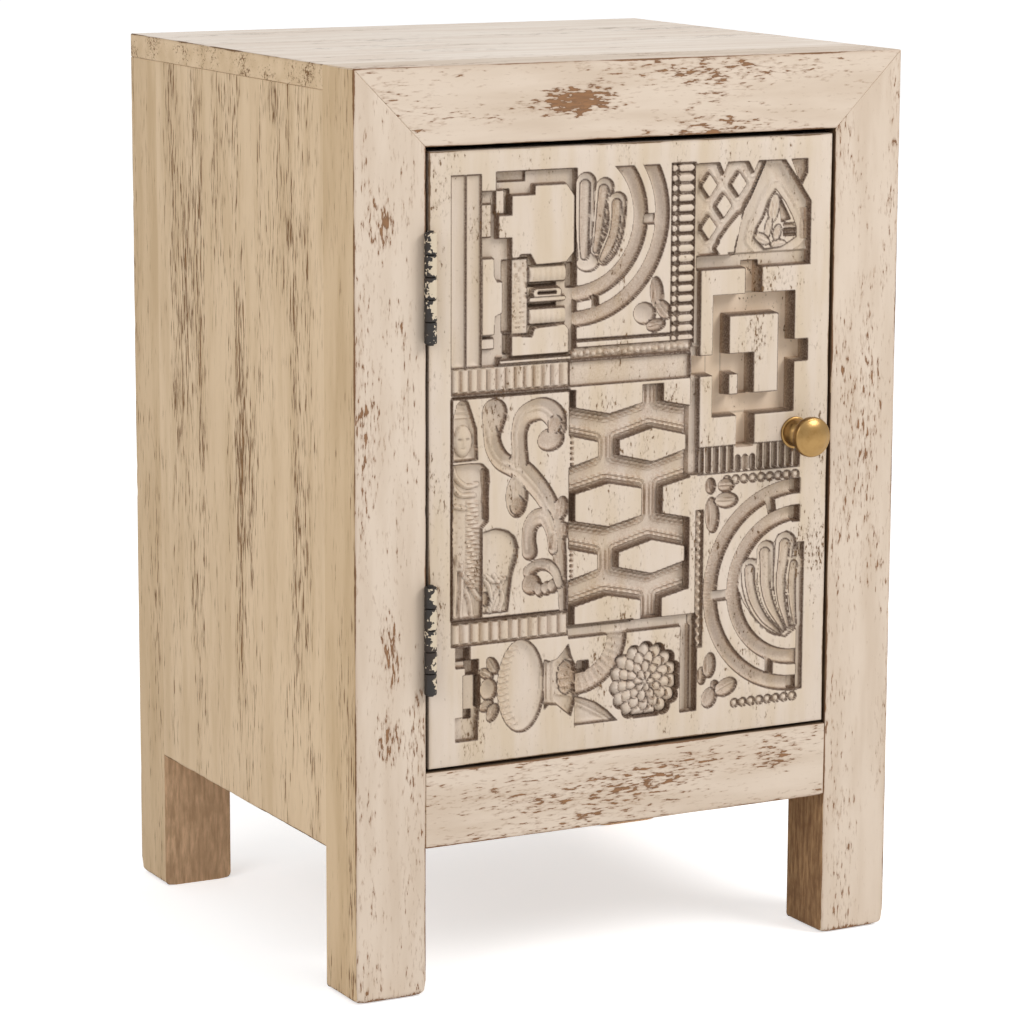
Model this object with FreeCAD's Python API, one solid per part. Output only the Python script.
import FreeCAD, Part

import math
import os

from FreeCAD import Vector

# A painted wooden bedside cabinet on four legs, with one carved door.
# All sizes are millimetres. +Z is up, the door faces -Y and +X is to the right.
# The origin lies on the floor, in the middle of the part's bounding box.

# Overall sizes
width = 400.0
depth = 355.0
leg_clear = 98.0  # floor to the underside of the front bottom rail
opening_height = 400.0  # the door's opening
member = 50.0  # face width of the front posts and rails
post_depth = 44.0  # front to back

# Boards and rails
rail_thick = 30.0  # front to back, bottom rail and back rails
side_thick = 18.0
side_drop = 3.0  # how far the side panels reach below the rails
top_thick = 16.0
floor_thick = 15.0
back_thick = 8.0
cleat_size = 20.0
foot_chamfer = 4.0

# Joinery
fit_clear = 0.15  # clearance on each side of a tenon, tongue or panel edge
end_clear = 1.0  # space left at the bottom of a mortise or groove
tenon_length = 22.0
tenon_thick = 10.0
tenon_shoulder = 9.5  # above and below a tenon
tongue_length = 8.0
tongue_thick = 6.0
spline_length = 36.0  # loose tongue along each mitre of the front frame
spline_width = 16.0  # across the mitre
spline_thick = 5.0

# Door and the gaps round it
door_thick = 25.0
gap_side = 2.0
gap_top = 3.0
gap_bottom = 2.0

# Butt hinges
hinge_length = 70.0
hinge_inset = 87.5  # end of the opening to the middle of the hinge
knuckle_count = 5
knuckle_gap = 0.4
barrel_radius = 4.0
barrel_stand = 0.3  # gap between the barrel and the face of the door
leaf_thick = 1.6
leaf_gap = 0.4  # between the closed leaves
leaf_depth = 22.0
pin_radius = 2.0
pin_clear = 0.05
pin_proud = 1.0  # how far the pin stands out of the barrel at each end

# Knob
knob_from_right = 28.0  # right edge of the opening to the middle of the knob
knob_from_top = 199.5  # top of the opening to the middle of the knob
knob_base_radius = 10.6
knob_base_height = 2.0
knob_bell_radius = 9.2
knob_shoulder_height = 7.0
knob_bell_height = 11.0
knob_waist_radius = 5.6
knob_head_radius = 13.3
knob_head_height = 18.0  # face of the door to the head's underside
knob_rim_height = 24.5
knob_face_radius = 10.8  # flat middle of the head's bevelled face
knob_reach = 27.0  # face of the door to the front of the knob

# Magnetic catch on the right post, and its strike plate on the door
catch_drop = 60.0  # top of the opening to the middle of the catch
catch_height = 44.0
catch_width = 13.0
catch_depth = 15.0
catch_gap = 0.3
strike_width = 12.0
strike_height = 38.0
strike_thick = 1.0

# Carved field: its plain margin, and the grid of its drawing, in units that fit the door.
# a counts the units to the right and b downwards from the field's top left corner.
field_margin = 16.0
overcut = 2.0  # how far the cutters stand in front of the door
grid = {"columns": 264, "rows": 363, "steps": 21.5, "fan": 85, "ladder": 159, "fret": 176.5,
        "band": 121, "band_end": 138.5, "lower_band": 285.5, "lower_band_end": 301}

# Depths of the carving
shallow = 4.0
fine = 5.0
middling = 6.5
deep = 9.0
deepest = 11.5

# Values that follow from the sizes above
height = leg_clear + 2 * member + opening_height
front_y = (knob_reach - depth) / 2
back_y = front_y + depth
left_x = -width / 2
right_x = width / 2
opening_left = left_x + member
opening_right = right_x - member
opening_bottom = leg_clear + member
opening_top = opening_bottom + opening_height
carcass_top = height - top_thick
post_back = front_y + post_depth
back_post_front = back_y - post_depth
side_bottom = leg_clear - side_drop
door_left = opening_left + gap_side
door_right = opening_right - gap_side
door_bottom = opening_bottom + gap_bottom
door_top = opening_top - gap_top
door_back = front_y + door_thick
barrel_x = opening_left + gap_side / 2
barrel_y = front_y - barrel_radius - barrel_stand
hinge_levels = (opening_bottom + hinge_inset, opening_top - hinge_inset)
leaf_back = front_y + leaf_depth
knob_x = opening_right - knob_from_right
knob_z = opening_top - knob_from_top
catch_front = door_back + strike_thick + catch_gap
catch_z = opening_top - catch_drop
strike_x = opening_right - catch_width / 2 - gap_side
back_rail_y = back_y - rail_thick
unit = min((door_right - door_left - 2 * field_margin) / grid["columns"],
           (door_top - door_bottom - 2 * field_margin) / grid["rows"])
cleat_z = opening_bottom - floor_thick - cleat_size


# Plain solids

def box(x0, x1, y0, y1, z0, z1):
    """Block between two corners."""
    return Part.makeBox(x1 - x0, y1 - y0, z1 - z0, Vector(x0, y0, z0))


def rod(radius, start, direction, length):
    """Round bar from a start point along a direction."""
    return Part.makeCylinder(radius, length, start, direction)


def mirrored(shape):
    """The shape on the other side of the cabinet's middle."""
    return shape.mirror(Vector(0, 0, 0), Vector(1, 0, 0))


def one(shapes):
    """A compound of separate solids."""
    return Part.makeCompound(list(shapes))


# Rails and the mortises that take them

def tenon(x0, x1, y, z0, z1, clear):
    """Tenon block of a rail, widened by the clearance for its mortise."""
    half = tenon_thick / 2 + clear
    return box(x0, x1, y - half, y + half, z0 + tenon_shoulder - clear, z1 - tenon_shoulder + clear)


def rail(y0, z0):
    """Straight rail between two posts, with a tenon at each end."""
    z1 = z0 + member
    body = box(opening_left, opening_right, y0, y0 + rail_thick, z0, z1)
    tenons = tenon(opening_left - tenon_length, opening_right + tenon_length,
                   y0 + rail_thick / 2, z0, z1, 0)
    return body.fuse(tenons).removeSplitter()


def rail_mortise(y0, z0):
    """Room for a rail's left tenon in the left post."""
    return tenon(opening_left - tenon_length - end_clear, opening_left,
                 y0 + rail_thick / 2, z0, z0 + member, fit_clear)


def panel_groove(y0, y1):
    """Groove in a left post for the tongue of the side panel."""
    x = left_x + side_thick / 2
    half = tongue_thick / 2 + fit_clear
    return box(x - half, x + half, y0, y1, side_bottom, carcass_top)


def back_panel_block(grow, clear):
    """The back panel's block, grown at its edges and thickened by a clearance."""
    y = back_y - rail_thick / 2
    half = back_thick / 2 + clear
    return box(opening_left - grow, opening_right + grow, y - half, y + half,
               opening_bottom - tongue_length, carcass_top - member + grow)


def back_groove():
    """Room for the back panel's edges in the back posts and rails."""
    return back_panel_block(tongue_length + end_clear, fit_clear)


def mitre_spline(clear):
    """Loose tongue across the left mitre, grown by the clearance for its slot."""
    across = spline_width + 2 * clear
    along = spline_length + 2 * clear
    thick = spline_thick + 2 * clear
    block = Part.makeBox(across, thick, along, Vector(-across / 2, -thick / 2, -along / 2))
    block.rotate(Vector(0, 0, 0), Vector(0, 1, 0), -45)
    block.translate(Vector(left_x + member / 2, front_y + post_depth / 2, height - member / 2))
    return block


# Posts

def chamfered_foot(post):
    """The post with its foot's four bottom edges chamfered."""
    edges = [e for e in post.Edges if abs(e.BoundBox.ZMax) < 1e-6]
    return post.makeChamfer(foot_chamfer, edges)


def front_left_post():
    """Front left leg and stile, mitred at the top, with its mortises and grooves."""
    post = chamfered_foot(box(left_x, opening_left, front_y, post_back, 0, height))
    mitre = Part.makePolygon([Vector(left_x, front_y, height),
                              Vector(opening_left, front_y, height),
                              Vector(opening_left, front_y, opening_top),
                              Vector(left_x, front_y, height)])
    cuts = [Part.Face(mitre).extrude(Vector(0, post_depth, 0))]
    cuts.append(rail_mortise(front_y, leg_clear))
    cuts.append(panel_groove(post_back - tongue_length - end_clear, post_back))
    cuts.append(mitre_spline(fit_clear))
    return post.cut(cuts)


def hinged_post():
    """The left post with the mortises of the hinges."""
    return front_left_post().cut([leaf_plate(-1, level) for level in hinge_levels])


def back_left_post():
    """Back left leg under the top board, grooved for the side and back panels."""
    post = chamfered_foot(box(left_x, opening_left, back_post_front, back_y, 0, carcass_top))
    cuts = [rail_mortise(back_rail_y, leg_clear)]
    cuts.append(rail_mortise(back_rail_y, carcass_top - member))
    cuts.append(panel_groove(back_post_front, back_post_front + tongue_length + end_clear))
    cuts.append(back_groove())
    return post.cut(cuts)


# Rails and boards

def front_top_rail():
    """Top rail of the front frame, mitred at both ends."""
    outline = Part.makePolygon([Vector(left_x, front_y, height),
                                Vector(right_x, front_y, height),
                                Vector(opening_right, front_y, opening_top),
                                Vector(opening_left, front_y, opening_top),
                                Vector(left_x, front_y, height)])
    slot_left = mitre_spline(fit_clear)
    return Part.Face(outline).extrude(Vector(0, post_depth, 0)).cut([slot_left, mirrored(slot_left)])


def side_panel():
    """Left side panel, flush with the posts, with a tongue on each upright edge."""
    body = box(left_x, left_x + side_thick, post_back, back_post_front, side_bottom, carcass_top)
    x = left_x + side_thick / 2
    half = tongue_thick / 2
    tongues = box(x - half, x + half, post_back - tongue_length, back_post_front + tongue_length,
                  side_bottom, carcass_top)
    return body.fuse(tongues).removeSplitter()


def floor_board():
    """Cabinet floor, notched round the four posts and resting on the cleats."""
    edge = side_thick + fit_clear
    board = box(left_x + edge, right_x - edge, front_y + rail_thick, back_y - rail_thick,
                opening_bottom - floor_thick, opening_bottom)
    notches = []
    for y0, y1 in ((front_y, post_back + fit_clear), (back_post_front - fit_clear, back_y)):
        notch = box(left_x, opening_left + fit_clear, y0, y1, leg_clear, opening_top)
        notches += [notch, mirrored(notch)]
    return board.cut(notches)


def cleat(z):
    """Strip along the left side panel, its underside at the given height."""
    inner = left_x + side_thick
    return box(inner, inner + cleat_size, post_back, back_post_front, z, z + cleat_size)


def top_board():
    """Top between the front rail and the back, over the side panels and back posts."""
    return box(left_x, right_x, post_back, back_y, carcass_top, height)


# Hinges

def leaf_plate(side, level):
    """Flat plate of a hinge leaf, to the left (side -1) or right (side 1) of the pin."""
    x0, x1 = sorted((barrel_x + side * leaf_gap / 2, barrel_x + side * (leaf_gap / 2 + leaf_thick)))
    half = hinge_length / 2
    return box(x0, x1, front_y, leaf_back, level - half, level + half)


def hinge_leaf(side, level, bore):
    """One leaf with its knuckles: the odd ones on the frame, the even ones on the door."""
    x0, x1 = sorted((barrel_x + side * leaf_gap / 2, barrel_x + side * (leaf_gap / 2 + leaf_thick)))
    pitch = (hinge_length + knuckle_gap) / knuckle_count
    first = 0 if side < 0 else 1
    solids = []
    for index in range(first, knuckle_count, 2):
        z0 = level - hinge_length / 2 + index * pitch
        z1 = z0 + pitch - knuckle_gap
        solids.append(rod(barrel_radius, Vector(barrel_x, barrel_y, z0), Vector(0, 0, 1), z1 - z0))
        solids.append(box(x0, x1, barrel_y, front_y, z0, z1))
    pin_hole = rod(bore, Vector(barrel_x, barrel_y, level - hinge_length), Vector(0, 0, 1),
                   2 * hinge_length)
    return leaf_plate(side, level).fuse(solids).removeSplitter().cut(pin_hole)


def hinge_pin(level):
    """Pin through all knuckles of a hinge."""
    half = hinge_length / 2 + pin_proud
    return rod(pin_radius, Vector(barrel_x, barrel_y, level - half), Vector(0, 0, 1), 2 * half)


# Knob and catch

def knob():
    """Turned mushroom knob: base flange, bell, waist and a head with a bevelled face."""
    profile = [(knob_base_radius, 0),
               (knob_base_radius, knob_base_height),
               (knob_bell_radius, knob_base_height),
               (knob_bell_radius, knob_shoulder_height),
               (knob_waist_radius, knob_bell_height),
               (knob_waist_radius, knob_head_height),
               (knob_head_radius, knob_head_height),
               (knob_head_radius, knob_rim_height),
               (knob_face_radius, knob_reach),
               (0, knob_reach)]
    middle = Vector(knob_x, front_y, knob_z)
    points = [middle] + [middle + Vector(radius, -out, 0) for radius, out in profile] + [middle]
    return Part.Face(Part.makePolygon(points)).revolve(middle, Vector(0, 1, 0), 360)


def catch_body():
    """Magnetic catch behind the door, on the inner face of the right post."""
    half = catch_height / 2
    return box(opening_right - catch_width, opening_right, catch_front, catch_front + catch_depth,
               catch_z - half, catch_z + half)


def catch_strike():
    """Steel plate on the back of the door, opposite the catch."""
    half = strike_height / 2
    return box(strike_x - strike_width / 2, strike_x + strike_width / 2, door_back,
               door_back + strike_thick, catch_z - half, catch_z + half)


# Outlines in the carved field

def spot(a, b):
    """Point of the field's grid, before the field is moved to the door."""
    return Vector(a * unit, 0, -b * unit)


def polygon(*corners):
    """Face with straight edges."""
    points = [spot(*corner) for corner in corners]
    return Part.Face(Part.makePolygon(points + points[:1]))


def rectangle(left, top, right, bottom):
    """Upright rectangle."""
    return polygon((left, top), (right, top), (right, bottom), (left, bottom))


def disc(a, b, radius):
    """Round face."""
    return Part.Face(Part.Wire(Part.Circle(spot(a, b), Vector(0, 1, 0), radius * unit).toShape()))


def arc_band(a, b, inner, outer, start, end):
    """Curved band about a centre, its angles clockwise from the right in degrees."""
    def at(radius, angle):
        turn = math.radians(angle)
        return spot(a + radius * math.cos(turn), b + radius * math.sin(turn))

    middle = (start + end) / 2
    edges = [Part.Arc(at(outer, start), at(outer, middle), at(outer, end)).toShape(),
             Part.makeLine(at(outer, end), at(inner, end)),
             Part.Arc(at(inner, end), at(inner, middle), at(inner, start)).toShape(),
             Part.makeLine(at(inner, start), at(outer, start))]
    return Part.Face(Part.Wire(edges))


def leaf(root, tip, breadth):
    """Pointed leaf between two points, bounded by two arcs."""
    start = spot(*root)
    end = spot(*tip)
    middle = (start + end) * 0.5
    across = (end - start).cross(Vector(0, 1, 0)).normalize() * (breadth * unit / 2)
    first = Part.Arc(start, middle + across, end).toShape()
    second = Part.Arc(end, middle - across, start).toShape()
    return Part.Face(Part.Wire([first, second]))


def petal(root, tip, breadth):
    """Petal from a pointed root to a round tip, with slightly swelling sides."""
    start = spot(*root)
    end = spot(*tip)
    along = (end - start).normalize()
    across = along.cross(Vector(0, 1, 0)) * (breadth * unit / 2)
    shoulder = end - along * (breadth * unit / 2)
    middle = (start + shoulder) * 0.5
    swell = 0.9
    edges = [Part.Arc(start, middle + across * swell, shoulder + across).toShape(),
             Part.Arc(shoulder + across, end, shoulder - across).toShape(),
             Part.Arc(shoulder - across, middle - across * swell, start).toShape()]
    return Part.Face(Part.Wire(edges))


def slot(start, end, breadth):
    """Straight channel with round ends."""
    p = spot(*start)
    q = spot(*end)
    along = (q - p).normalize() * (breadth * unit / 2)
    across = along.cross(Vector(0, 1, 0))
    edges = [Part.makeLine(p + across, q + across),
             Part.Arc(q + across, q + along, q - across).toShape(),
             Part.makeLine(q - across, p - across),
             Part.Arc(p - across, p - along, p + across).toShape()]
    return Part.Face(Part.Wire(edges))


def sunk(face, sink):
    """Cutter that sinks an outline into the door."""
    return face.translated(Vector(0, -overcut, 0)).extrude(Vector(0, overcut + sink, 0))


def flute(left, right, top, bottom, sink):
    """Cutter of an upright hollow flute with a round floor."""
    start = spot(left, top)
    end = spot(right, top)
    floor = (start + end) * 0.5 + Vector(0, sink, 0)
    section = Part.Face(Part.Wire([Part.Arc(start, floor, end).toShape(), Part.makeLine(end, start)]))
    return section.extrude(spot(0, bottom - top))


def hollow(a, b, half_width, half_height, sink):
    """Cutter of an upright oval hollow, taller than wide, with a floor round in section."""
    radius = ((half_width * unit) ** 2 + sink ** 2) / (2 * sink)
    run = half_height - half_width
    outline = slot((a, b - run), (a, b + run), 2 * half_width)
    foot = spot(a, b + half_height) + Vector(0, sink - radius, 0)
    return sunk(outline, sink).common(rod(radius, foot, Vector(0, 0, 1), 2 * half_height * unit))


# Motifs of the carving

def reeds():
    """Two tall hollow reeds at the left edge."""
    half = grid["steps"] / 2 - 0.2
    return [flute(0, half, 0, grid["band"], shallow), flute(half, 2 * half, 0, grid["band"], shallow)]


def stepped_pillar():
    """Stepped pillar lying on its side, with a second tier of steps above it."""
    axis = 78.0
    tier = rectangle(31.5, 0, grid["fan"], 8).fuse(
        [rectangle(31.5, 0, 59, 14.5), rectangle(31.5, 0, 42.5, 25.5),
         rectangle(grid["steps"], 11.5, 33.5, 43)])
    for side in (-1, 1):
        tier = tier.fuse([rectangle(grid["steps"], axis + side * 23, 42.5, axis + side * 37),
                          rectangle(30.5, axis + side * 10.5, 57, axis + side * 27)])
    tier = tier.fuse(rectangle(36.5, axis - 26, 57, axis + 26))
    cuts = [sunk(tier.removeSplitter(), deep)]
    for near, far in ((1.5, 5.0), (8.5, 18.5)):
        for side in (-1, 1):
            cuts.append(sunk(rectangle(56, axis + side * near, 79, axis + side * far), middling))
    cuts.append(sunk(rectangle(78, axis - 26, 87, axis + 27), deepest))
    return cuts


def leaf_sprig(root, tips, breadth):
    """Small sprig: one sunk leaf to each tip, the leaves crossing a little at their root."""
    overlap = 0.12
    cuts = []
    for tip in tips:
        start = [r - overlap * (t - r) for r, t in zip(root, tip)]
        cuts.append(sunk(leaf(start, tip, breadth), shallow))
    return cuts


def radial_tie(a, b, inner, outer, angle, breadth):
    """Short straight tie between two arc channels."""
    turn = math.radians(angle)
    half = breadth / 2
    corners = []
    for run, side in ((inner, -half), (outer, -half), (outer, half), (inner, half)):
        corners.append((a + run * math.cos(turn) - side * math.sin(turn),
                        b + run * math.sin(turn) + side * math.cos(turn)))
    return sunk(polygon(*corners), middling)


def quarter_fan():
    """Quarter fan: two arc channels round a hand of long petals, and a sprig."""
    a, b = grid["fan"] + 1, 33.0
    clip = rectangle(grid["fan"], 0, grid["ladder"], grid["band"])
    cuts = []
    for inner, outer in ((42.0, 53.0), (58.5, 69.0)):
        ring = disc(a, b, outer).cut(disc(a, b, inner))
        cuts.append(sunk(ring.common(clip), deep))
    cuts += [radial_tie(a, b, 52, 59.5, angle, 6) for angle in (0, 60)]
    for root, tip in (((93, 62), (94.5, 1.5)), ((101, 66), (108, 5)), ((109.5, 67), (118.8, 16))):
        cuts.append(sunk(petal(root, tip, 10), middling))
    return cuts + leaf_sprig((157, 112), ((146, 88), (131, 98), (150, 104)), 9)


def ladder():
    """Upright ladder: a side channel and a row of short sunk rungs."""
    left = grid["ladder"] + 4.8
    right = grid["ladder"] + 15.5
    pitch = 5.9
    rungs = 19
    cuts = [sunk(rectangle(grid["ladder"], 0, left - 0.8, pitch * rungs), middling)]
    for index in range(rungs):
        top = 1.5 + index * pitch
        cuts.append(sunk(rectangle(left, top, right, top + 3.2), shallow))
    return cuts


def lattice():
    """Diamond lattice of crossing channels in the top right block."""
    face = polygon((grid["fret"], 0), (232, 0), (187, 60), (grid["fret"], 60))
    pitch_a, pitch_b = 23.0, 27.0
    half_a, half_b = 6.5, 7.6
    diamonds = []
    for row in range(4):
        for column in range(3):
            a = 186.5 + pitch_a * (column + row % 2 / 2)
            b = 14.5 + pitch_b / 2 * (row)
            diamonds.append(polygon((a - half_a, b), (a, b - half_b), (a + half_a, b), (a, b + half_b)))
    return [sunk(face.cut(diamonds), middling)]


def arch():
    """Pointed arch with a broad band, a sprig inside and a hollow in the corner."""
    outer = Part.Face(Part.Wire([
        Part.Arc(spot(207, 60), spot(213.5, 29), spot(229.5, 0)).toShape(),
        Part.makePolygon([spot(229.5, 0), spot(244, 0), spot(grid["columns"], 26),
                          spot(grid["columns"], 60), spot(207, 60)])]))
    inner = Part.Face(Part.Wire([
        Part.Arc(spot(222, 51), spot(228.5, 38), spot(239.5, 20.5)).toShape(),
        Part.makePolygon([spot(239.5, 20.5), spot(255, 43), spot(255, 54), spot(222, 51)])]))
    cuts = [sunk(outer.cut(inner), deep)]
    cuts += leaf_sprig((241, 52), ((240, 26), (227, 49), (253, 47)), 8)
    corner = Part.Face(Part.Wire([
        Part.makePolygon([spot(262, 11), spot(262, 0), spot(250, 0)]),
        Part.Arc(spot(250, 0), spot(255.5, 10), spot(262, 11)).toShape()]))
    return cuts + [sunk(corner, middling)]


def key_fret():
    """Key fret: a square ring with stems, stubs and a bent inner channel."""
    left, top, right, bottom = 190.5, 86.0, 253.0, 166.0
    bar = 12.7
    island = (left + bar, top + 13.8, right - bar, bottom - 13.8)
    bend_a, bend_b = 222.0, 124.8
    face = rectangle(left, top, right, bottom).cut(rectangle(*island))
    face = face.fuse([rectangle(grid["fret"], 60, grid["columns"], 69),
                      rectangle(215, 68, 227.5, top + 1),
                      rectangle(grid["fret"], bend_b, left + 1, bend_b + 13.5),
                      rectangle(right - 1, 118.5, grid["columns"], 133),
                      rectangle(209.5, bottom - 1, bend_a, 187),
                      rectangle(island[0] - 1, bend_b, bend_a, bend_b + 13.5),
                      rectangle(bend_a - 12, bend_b, bend_a, island[3] + 1)])
    return [sunk(face.removeSplitter(), deepest)]


def flute_strip():
    """Row of short flutes below the fret; the ones under its stem are shorter."""
    pitch = 5.6
    count = 14
    half = 1.9
    bottom = 203.5
    cuts = []
    for index in range(count):
        a = 183.5 + index * pitch
        top = 193.0 if index in (5, 6, 7) else 185.0
        flute_face = polygon((a - half, top + half), (a, top), (a + half, top + half),
                             (a + half, bottom - half), (a, bottom), (a - half, bottom - half))
        cuts.append(sunk(flute_face, fine))
    return cuts


def bands():
    """Broad flat band and the upright channel beside the hexagons."""
    right = grid["fret"] - 2.5
    return [sunk(rectangle(grid["fan"], grid["band"], right, grid["band_end"]), fine),
            sunk(rectangle(right - 0.5, 116, right + 6.5, 203), deep)]


def dentil_strip(top, bottom, count):
    """Strip of upright dentils along the left of the field."""
    pitch = grid["fan"] / count
    cuts = [sunk(rectangle(0, top, grid["fan"], bottom), shallow / 2)]
    for index in range(count):
        a = (index + 0.5) * pitch
        cuts.append(sunk(rectangle(a - pitch * 0.3, top + 1.5, a + pitch * 0.3, bottom - 3), fine))
    return cuts


def hexagons():
    """Lattice of zigzag channels round long hexagons, staggered row by row."""
    face = rectangle(grid["fan"] + 0.5, grid["band_end"] + 2, grid["fret"] - 2.5, 295)
    pitch_a, pitch_b = 65.0, 37.0
    half_a = 24.8
    middle_a, middle_b = 114.0, 217.6
    plates = []
    for row in range(-2, 3):
        apex, shoulder = (11.3, 5.0) if row % 2 else (14.4, 9.0)
        b = middle_b + row * pitch_b
        for column in range(-1, 2):
            a = middle_a + pitch_a * (column + row % 2 / 2)
            plates.append(polygon((a - half_a, b - shoulder), (a, b - apex), (a + half_a, b - shoulder),
                                  (a + half_a, b + shoulder), (a, b + apex), (a - half_a, b + shoulder)))
    return [sunk(face.cut(plates), deep)]


def scroll():
    """Vine scroll: a hooked stem with buds, a smaller hook and a leafy curl."""
    stem = arc_band(48, 165, 16, 28.5, 90, 185)
    stem = stem.fuse([arc_band(63.5, 166, 8.5, 20.7, 150, 368),
                      slot((49, 182), (77, 219), 14.0),
                      slot((77, 219), (80.5, 284), 9.0),
                      arc_band(62.5, 232, 4.5, 13.0, 170, 380),
                      arc_band(58, 270, 13.5, 21.5, 250, 375)])
    stem = stem.common(rectangle(0, grid["band_end"] + 1, grid["fan"] - 1, grid["lower_band"] - 1))
    cuts = [sunk(stem.removeSplitter(), middling)]
    buds = [slot((31, 150.5), (31, 155.5), 17.5), leaf((47, 199), (47, 221), 14),
            disc(74, 174, 9), disc(57, 264, 7)]
    return cuts + [sunk(bud, deep) for bud in buds]


def figure_and_animal():
    """Crowned standing figure at the left edge, with a round-bodied animal beside it."""
    robe = polygon((0.5, 184), (17, 183), (26, 196), (22, 222), (19, 250), (24, 282), (0.5, 282))
    crown = polygon((2, 157), (5.5, 143), (12, 141), (16, 157))
    head = slot((9.2, 164), (9.2, 174), 15.0)
    cuts = [sunk(robe, shallow), sunk(crown, shallow), sunk(head, middling)]
    cuts.append(hollow(34, 243, 13.5, 16.5, deep))
    for top_a, foot_a in ((26, 21), (34, 40), (44, 46)):
        cuts.append(sunk(leaf((top_a, 250), (foot_a, 284), 6.5), fine))
    return cuts


def vase():
    """Vase lying on its side: stepped base, petal collar, oval body and flared neck."""
    axis = 331.0
    cuts = []
    for side in (-1, 1):
        cuts.append(sunk(rectangle(3.5, axis + side * 20, 14, axis + side * 30), deepest))
        cuts.append(sunk(rectangle(10.5, axis + side * 10, 19.5, axis + side * 20.5), deep))
        cuts.append(sunk(leaf((21, axis + side * 8), (33, axis + side * 22), 9), shallow))
    cuts.append(sunk(rectangle(9.5, axis - 10.5, 17, axis + 10.5), middling))
    cuts.append(sunk(leaf((27.5, axis - 10), (27.5, axis + 10), 13), fine))
    cuts.append(hollow(50.5, axis, 16.5, 30.3, deep))
    neck = Part.Face(Part.Wire([
        Part.Arc(spot(65, axis - 15), spot(74, axis - 15), spot(86, axis - 23)).toShape(),
        Part.makePolygon([spot(86, axis - 23), spot(83, axis), spot(86, axis + 23)]),
        Part.Arc(spot(86, axis + 23), spot(74, axis + 15), spot(65, axis + 15)).toShape(),
        Part.makeLine(spot(65, axis + 15), spot(65, axis - 15))]))
    return cuts + [sunk(neck, middling)]


def rosette_block():
    """Round rosette with a quarter arc, a leaf and a square-cornered channel."""
    flower = disc(143, 338.5, 25).common(rectangle(90, 303, 168, grid["rows"]))
    cuts = [sunk(flower.cut(disc(143, 338.5, 7)), fine), sunk(arc_band(90, 303, 24, 37, 0, 90), middling)]
    cuts.append(sunk(leaf((91, 347), (121, 362), 11), middling))
    corner = rectangle(grid["fan"], 295, 181, 303).fuse(rectangle(168.5, 296, 181, 361)).removeSplitter()
    return cuts + [sunk(corner, deep)]


def half_fan():
    """Half-round fan open to the right: two arc channels, ties and a shell of petals."""
    a, b = 258.0, 283.5
    clip = rectangle(180, 211, a, 356)
    cuts = []
    for inner, outer in ((43.0, 53.0), (62.0, 71.5)):
        ring = disc(a, b, outer).cut(disc(a, b, inner))
        cuts.append(sunk(ring.common(clip), deep))
    cuts += [radial_tie(a, b, 52, 63, angle, 6) for angle in (112, 178, 246)]
    for root, tip in (((240, 312), (219.5, 264)), ((246, 316), (232.5, 255)),
                      ((252, 318), (246, 247)), ((258.5, 316), (257.5, 257))):
        cuts.append(sunk(petal(root, tip, 9.5), middling))
    return cuts


def sprigs():
    """Leaf sprigs above and below the half-round fan."""
    return (leaf_sprig((183, 210), ((212, 224), (192, 243), (204, 208)), 9)
            + leaf_sprig((191, 347), ((189, 325), (212, 344), (184, 359)), 9))


def carving():
    """All cutters of the carved field, moved to the middle of the door."""
    motifs = [reeds, stepped_pillar, quarter_fan, ladder, lattice, arch, key_fret, flute_strip, bands,
              hexagons, scroll, figure_and_animal, vase, rosette_block, half_fan, sprigs]
    cuts = [cut for motif in motifs for cut in motif()]
    cuts += dentil_strip(grid["band"], grid["band_end"] - 1, 13)
    cuts += dentil_strip(grid["lower_band"], grid["lower_band_end"], 12)
    corner = Vector((door_left + door_right) / 2, front_y, (door_top + door_bottom) / 2)
    corner -= spot(grid["columns"] / 2, grid["rows"] / 2)
    return [solid.translated(corner) for cut in cuts for solid in cut.Solids]


def door_slab():
    """The door: one slab with its carving and the mortises of the hinges."""
    slab = box(door_left, door_right, front_y, door_back, door_bottom, door_top)
    return slab.cut(carving() + [leaf_plate(1, level) for level in hinge_levels])


def build():
    """All nodes by name."""
    spline = mitre_spline(0)
    return {
        "front_left_post": hinged_post(),
        "front_right_post": mirrored(front_left_post()),
        "back_left_post": back_left_post(),
        "back_right_post": mirrored(back_left_post()),
        "front_top_rail": front_top_rail(),
        "front_bottom_rail": rail(front_y, leg_clear),
        "back_top_rail": rail(back_rail_y, carcass_top - member).cut(back_groove()),
        "back_bottom_rail": rail(back_rail_y, leg_clear).cut(back_groove()),
        "left_side_panel": side_panel(),
        "right_side_panel": mirrored(side_panel()),
        "back_panel": back_panel_block(tongue_length, 0),
        "floor_board": floor_board(),
        "left_floor_cleat": cleat(cleat_z),
        "right_floor_cleat": mirrored(cleat(cleat_z)),
        "left_top_cleat": cleat(carcass_top - cleat_size),
        "right_top_cleat": mirrored(cleat(carcass_top - cleat_size)),
        "top_board": top_board(),
        "mitre_splines": one([spline, mirrored(spline)]),
        "hinge_frame_leaves": one(hinge_leaf(-1, level, pin_radius) for level in hinge_levels),
        "hinge_door_leaves": one(hinge_leaf(1, level, pin_radius + pin_clear) for level in hinge_levels),
        "hinge_pins": one(hinge_pin(level) for level in hinge_levels),
        "door_slab": door_slab(),
        "knob": knob(),
        "catch_body": catch_body(),
        "catch_strike": catch_strike(),
    }

os.makedirs("parts", exist_ok=True)
for name, shape in build().items():
    shape.exportStep("parts/" + name + ".step")
    print(name, len(shape.Solids), "solids", round(shape.Volume), "mm3, valid:", shape.isValid())
